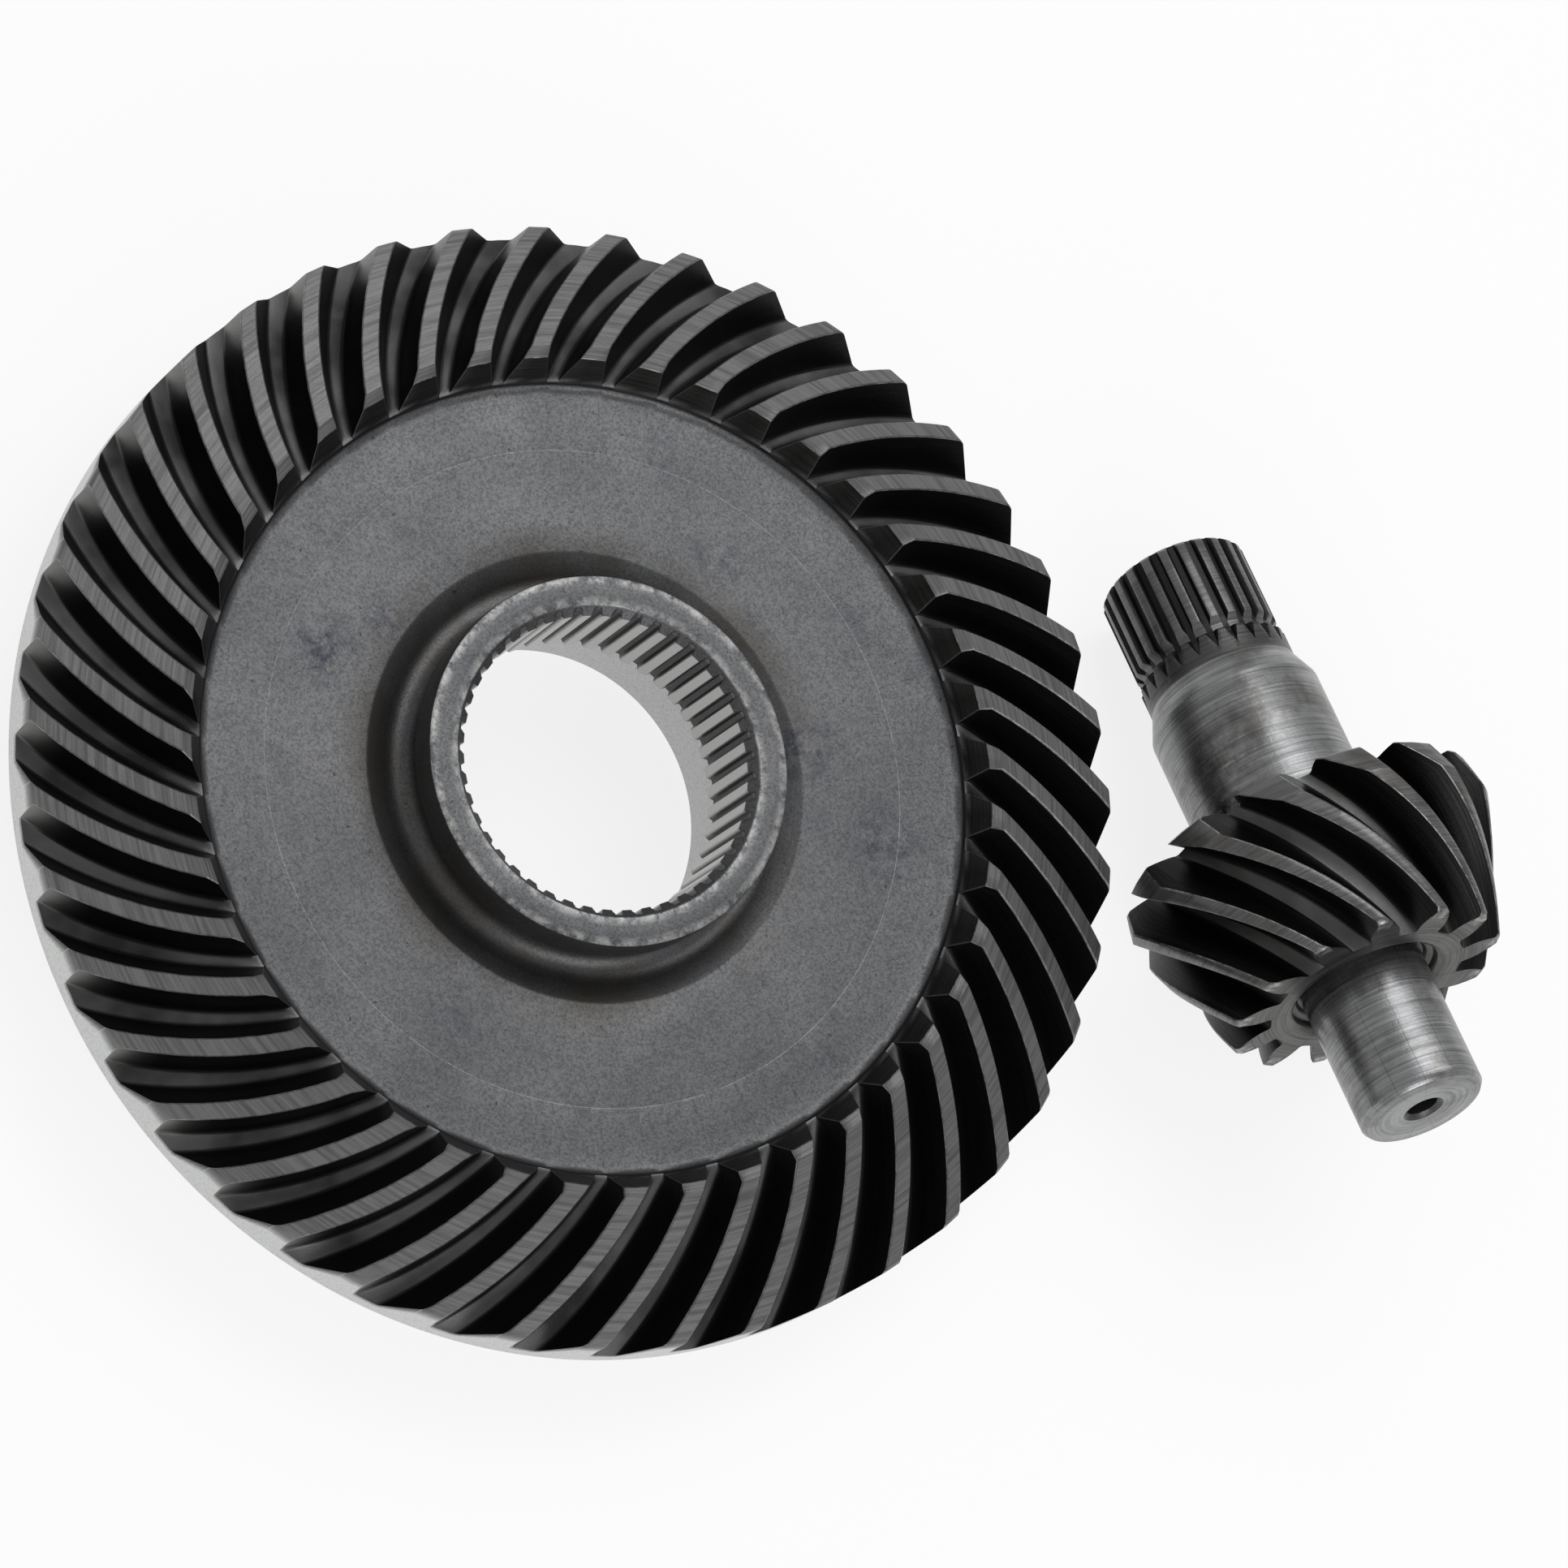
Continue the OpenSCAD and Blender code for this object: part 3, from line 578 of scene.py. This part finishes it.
def makeSteel(name, look, amounts, smudges):
    # case-hardened steel from the piece's own marks and own coordinates in millimetres:
    # "turned" lines run round the axis, "drawn" lines run along the tooth spaces
    material = bpy.data.materials.new(name)
    material.use_nodes = True
    tree = material.node_tree
    tree.nodes.clear()

    def put(kind, **inputs):
        return addNode(tree, kind, **inputs)

    def mark(key):
        return put("ShaderNodeAttribute", _attribute_name=key, _attribute_type="GEOMETRY").outputs["Fac"]

    def noise(vector, scale, detail, rough):
        node = put("ShaderNodeTexNoise", Vector=vector, Scale=scale, Detail=detail, Roughness=rough)
        return node.outputs["Fac"]

    def ramp(value, low, high):
        node = put("ShaderNodeMapRange", _clamp=True, Value=value, From_Min=low, From_Max=high)
        return node.outputs["Result"]

    def maths(kind, a, b):
        return put("ShaderNodeMath", _operation=kind, i0=a, i1=b).outputs["Value"]

    def times(*factors):
        result = factors[0]
        for factor in factors[1:]:
            result = maths("MULTIPLY", result, factor)
        return result

    def blend(factor, a, b):
        node = put("ShaderNodeMix", _data_type="RGBA", _blend_type="MIX", i0=factor)
        for value, socket in ((a, node.inputs[6]), (b, node.inputs[7])):
            if isinstance(value, bpy.types.NodeSocket):
                tree.links.new(value, socket)
            else:
                socket.default_value = value
        return node.outputs[2]

    own = put("ShaderNodeAttribute", _attribute_name="own", _attribute_type="GEOMETRY").outputs["Vector"]
    split = put("ShaderNodeSeparateXYZ", Vector=own)
    x, y, z = (split.outputs[k] for k in "XYZ")
    radius = maths("SQRT", maths("ADD", maths("MULTIPLY", x, x), maths("MULTIPLY", y, y)), 0.0)
    swayX, swayY = maths("MULTIPLY", x, 0.06), maths("MULTIPLY", y, 0.06)
    around = times(maths("ADD", radius, z), amounts["turnedPitch"])
    around = put("ShaderNodeCombineXYZ", X=around, Y=swayX, Z=swayY)
    turned = noise(around.outputs["Vector"], 1.0, 3, 0.65)
    along = put("ShaderNodeCombineXYZ", X=times(mark("deep"), 26.0), Y=swayX, Z=swayY)
    drawn = noise(along.outputs["Vector"], 1.0, 3, 0.6)
    cloud = noise(own, 0.05, 6, 0.62)
    grain = noise(own, 2.4, 3, 0.75)
    pits = noise(own, 0.9, 2, 0.5)

    colour = blend(ramp(cloud, 0.32, 0.70), look["body"], look["pale"])
    colour = blend(times(ramp(grain, 0.42, 0.68), amounts["grain"]), colour, look["dark"])
    colour = blend(times(ramp(turned, 0.5, 0.75), amounts["turned"]), colour, look["dark"])
    colour = blend(times(ramp(noise(own, 0.085, 8, 0.72), 0.55, 0.68), amounts["stain"]), colour, look["ink"])
    colour = blend(times(ramp(pits, 0.71, 0.75), 0.85), colour, look["dark"])
    broken = ramp(noise(own, 0.34, 7, 0.75), 0.44, 0.60)
    ground = blend(ramp(turned, 0.35, 0.75), look["ground"], look["pale"])
    colour = blend(times(mark("ground"), amounts["ground"]), colour, ground)
    tan = ramp(noise(own, 0.11, 6, 0.66), 0.50, 0.64)
    colour = blend(times(mark("ground"), tan, amounts["brown"]), colour, look["brown"])
    for centre, size, strength, tint in smudges:
        far = put("ShaderNodeVectorMath", _operation="DISTANCE", i0=own, i1=centre).outputs["Value"]
        near = ramp(far, size, size * 0.25)
        colour = blend(times(near, broken, strength), colour, look[tint])
    tan = ramp(noise(own, 0.06, 4, 0.6), 0.40, 0.62)
    colour = blend(times(mark("foot"), tan, amounts["foot"]), colour, look["brown"])
    # painted reflection: the pale wall colour is ground steel brightened to stand for the white gleam on the
    # outer walls and bore
    wall = blend(times(ramp(grain, 0.45, 0.75), 0.35), look["wall"], look["pale"])
    colour = blend(mark("wall"), colour, wall)
    colour = blend(mark("toe"), colour, blend(ramp(turned, 0.4, 0.7), amounts["toeColour"], look["toe"]))
    # painted reflection: the bright spline-bore strips
    colour = blend(mark("spline"), colour, look["spline"])
    land = blend(ramp(turned, 0.40, 0.66), look["land"], look["landDark"])
    land = blend(times(ramp(cloud, 0.52, 0.66), amounts["landBrown"]), land, look["brown"])
    colour = blend(mark("land"), colour, land)
    floor = blend(ramp(drawn, 0.40, 0.64), look["floor"], look["dark"])
    floor = blend(times(ramp(cloud, 0.50, 0.64), amounts["landBrown"]), floor, look["brown"])
    colour = blend(ramp(mark("deep"), 0.86, 0.96), colour, floor)
    flank = blend(times(ramp(drawn, 0.45, 0.70), amounts["flankLines"]), look["flank"], look["flankPale"])
    colour = blend(mark("flank"), colour, flank)
    # painted highlight at the heel end of the tooth sides
    colour = blend(mark("glow"), colour, look["glow"])
    # painted edge highlight and real wear: the edge breaks are painted bright, broken up with noise
    rubAndEdgeHighlight = ramp(maths("SUBTRACT", mark("rubAndEdgeHighlight"), mark("land")), 0.35, 0.9)
    rubAndEdgeHighlight = times(rubAndEdgeHighlight, ramp(noise(own, 0.5, 4, 0.7), 0.40, 0.62))
    colour = blend(times(rubAndEdgeHighlight, amounts["rubAndEdgeHighlight"]), colour, look["rubAndEdgeHighlight"])

    roughness = maths("ADD", times(ramp(grain, 0.3, 0.7), 0.10), amounts["roughness"])
    polished = maths("MAXIMUM", mark("ground"), mark("spline"))
    roughness = maths("SUBTRACT", roughness, times(polished, amounts["polish"]))
    relief = maths("ADD", times(grain, amounts["grainRelief"]), times(turned, amounts["turnedRelief"]))
    relief = maths("ADD", relief, times(drawn, ramp(mark("deep"), 0.1, 0.3), 0.5))
    bump = put("ShaderNodeBump", Strength=amounts["bump"], Distance=0.00012, Height=relief).outputs["Normal"]
    shader = put("ShaderNodeBsdfPrincipled", Base_Color=colour, Metallic=amounts["metal"],
                 Roughness=roughness, Normal=bump)
    output = put("ShaderNodeOutputMaterial")
    tree.links.new(shader.outputs["BSDF"], output.inputs["Surface"])
    return material


# floor, light and camera

stageLook = dict(floorColour=(0.9, 0.9, 0.9, 1), floorSize=3.0, floorDrop=0.0002, floorGlow=0.82,
                 worldDiffuse=0.55)
view = dict(place=(0.00007, -0.47296, 1.00528), lens=167.7, sensor=36, near=0.05, far=10,
            right=(0.571708, 0.727059, 0.3801), up=(-0.820243, 0.515755, 0.2473),
            back=(-0.016175, -0.453111, 0.8913))


def brighter(tree, a, b):
    return addNode(tree, "ShaderNodeMath", _operation="MAXIMUM", i0=a, i1=b).outputs["Value"]


def makeFloor():
    size = stageLook["floorSize"]
    corners = [(-size, -size, 0), (size, -size, 0), (size, size, 0), (-size, size, 0)]
    mesh = bpy.data.meshes.new("floor")
    mesh.from_pydata(corners, [], [(0, 1, 2, 3)])
    floor = bpy.data.objects.new("floor", mesh)
    bpy.context.scene.collection.objects.link(floor)
    floor.location.z = -stageLook["floorDrop"]
    material = bpy.data.materials.new("palePaper")
    material.use_nodes = True
    tree = material.node_tree
    paper = tree.nodes["Principled BSDF"]
    paper.inputs["Base Color"].default_value = stageLook["floorColour"]
    paper.inputs["Roughness"].default_value = 0.9
    glow = addNode(tree, "ShaderNodeEmission", Color=(1, 1, 1, 1), Strength=1.0)
    ray = addNode(tree, "ShaderNodeLightPath").outputs
    seen = brighter(tree, ray["Is Camera Ray"], ray["Is Glossy Ray"])
    seen = brighter(tree, seen, ray["Is Transmission Ray"])
    share = addNode(tree, "ShaderNodeMath", _operation="MULTIPLY", i0=seen, i1=stageLook["floorGlow"])
    mix = addNode(tree, "ShaderNodeMixShader", Fac=share.outputs["Value"])
    tree.links.new(paper.outputs["BSDF"], mix.inputs[1])
    tree.links.new(glow.outputs["Emission"], mix.inputs[2])
    tree.links.new(mix.outputs["Shader"], tree.nodes["Material Output"].inputs["Surface"])
    mesh.materials.append(material)


def makeWorld():
    world = bpy.data.worlds.new("studio")
    bpy.context.scene.world = world
    world.use_nodes = True
    tree = world.node_tree
    soft = tree.nodes["Background"]
    soft.inputs["Color"].default_value = (1, 1, 1, 1)
    soft.inputs["Strength"].default_value = stageLook["worldDiffuse"]
    white = addNode(tree, "ShaderNodeBackground", Color=(1, 1, 1, 1), Strength=1.0)
    ray = addNode(tree, "ShaderNodeLightPath").outputs
    seen = brighter(tree, ray["Is Camera Ray"], ray["Is Transmission Ray"])
    mix = addNode(tree, "ShaderNodeMixShader", Fac=seen)
    tree.links.new(soft.outputs["Background"], mix.inputs[1])
    tree.links.new(white.outputs["Background"], mix.inputs[2])
    tree.links.new(mix.outputs["Shader"], tree.nodes["World Output"].inputs["Surface"])


def makeLamp(name, place, aim, size, power):
    data = bpy.data.lights.new(name, "AREA")
    data.shape = "RECTANGLE"
    data.size, data.size_y, data.energy = size[0], size[1], power
    lamp = bpy.data.objects.new(name, data)
    bpy.context.scene.collection.objects.link(lamp)
    lamp.location = place
    lamp.rotation_mode = "QUATERNION"
    lamp.rotation_quaternion = (Vector(aim) - Vector(place)).to_track_quat("-Z", "Y")


def makeCamera():
    data = bpy.data.cameras.new("camera")
    data.lens, data.sensor_width = view["lens"], view["sensor"]
    data.clip_start, data.clip_end = view["near"], view["far"]
    camera = bpy.data.objects.new("camera", data)
    bpy.context.scene.collection.objects.link(camera)
    turn = Matrix((view["right"], view["up"], view["back"])).transposed().to_4x4()
    turn.translation = view["place"]
    camera.matrix_world = turn
    bpy.context.scene.camera = camera


bpy.context.scene.view_settings.view_transform = "Standard"
makeCamera()
makeWorld()
makeFloor()
makeLamp("topSoftbox", (-0.25, 0.45, 0.85), (0, 0, 0), (0.8, 0.6), 4)
makeLamp("sideSoftbox", (0.75, -0.25, 0.55), (0.05, 0, 0), (0.5, 0.5), 2.5)
print("stage ready")

crownAmounts = dict(turnedPitch=3.0, turned=0.12, grain=0.62, stain=0.30, ground=0.25, brown=0.2, foot=0.6,
                    toeColour=(0.030, 0.029, 0.028, 1), landBrown=0.12, flankLines=0.5, rubAndEdgeHighlight=0.7,
                    roughness=0.36, polish=0.10, grainRelief=0.8, turnedRelief=0.25, bump=0.35, metal=0.80)
pinionAmounts = dict(turnedPitch=2.6, turned=0.20, grain=0.45, stain=0.35, ground=0.85, brown=0.5, foot=0.0,
                     toeColour=(0.105, 0.103, 0.100, 1), landBrown=0.45, flankLines=0.9, rubAndEdgeHighlight=0.8,
                     roughness=0.33, polish=0.08, grainRelief=0.5, turnedRelief=0.35, bump=0.35, metal=0.85)
# centre in the piece's own millimetres, size, strength and tint of each smudge
crownSmudges = [((-37.6, -23.5, 23.5), 7.0, 0.9, "ink"), ((-36.9, -12.9, 23.5), 4.5, 0.8, "ink"),
                ((15.1, 31.5, 23.5), 6.5, 0.9, "ink"), ((34.1, 34.3, 23.5), 8.0, 0.7, "ink"),
                ((-15.9, 38.2, 23.5), 6.0, 0.5, "ink"), ((17.5, -40.0, 23.5), 9.0, 0.35, "ink"),
                ((-23.0, -3.7, 33.0), 2.0, 1.0, "ink"), ((-21.9, 60.3, 29.0), 2.6, 1.0, "paint")]
pinionSmudges = [((5.0, 13.1, 92.0), 6.0, 1.0, "ink"), ((-4.0, 13.4, 93.5), 5.0, 0.9, "ink"),
                 ((-8.0, 11.5, 101.0), 8.0, 0.6, "brown"), ((2.0, 13.8, 99.0), 9.0, 0.55, "brown")]
crownSteel = makeSteel("crownSteel", steelLook, crownAmounts, crownSmudges)
pinionLook = dict(steelLook, body=(0.070, 0.070, 0.071, 1), pale=(0.105, 0.105, 0.106, 1))
pinionSteel = makeSteel("pinionSteel", pinionLook, pinionAmounts, pinionSmudges)

crownRim = makeCrownRim()
crownHub = makeCrownHub()
print("crown gear made")
pinionHead = makePinionHead()
pinionTail = makePinionTail()
print("pinion made")
for piece, body, node, slot, material in (
        (crownRim, "crown", "crown_gear", "crown_steel", crownSteel),
        (crownHub, "crown", "crown_gear", "crown_steel", crownSteel),
        (pinionHead, "pinion", "pinion_shaft", "pinion_steel", pinionSteel),
        (pinionTail, "pinion", "pinion_shaft", "pinion_steel", pinionSteel)):
    piece.data.materials.append(material)
    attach(piece, body)
    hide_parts(node)
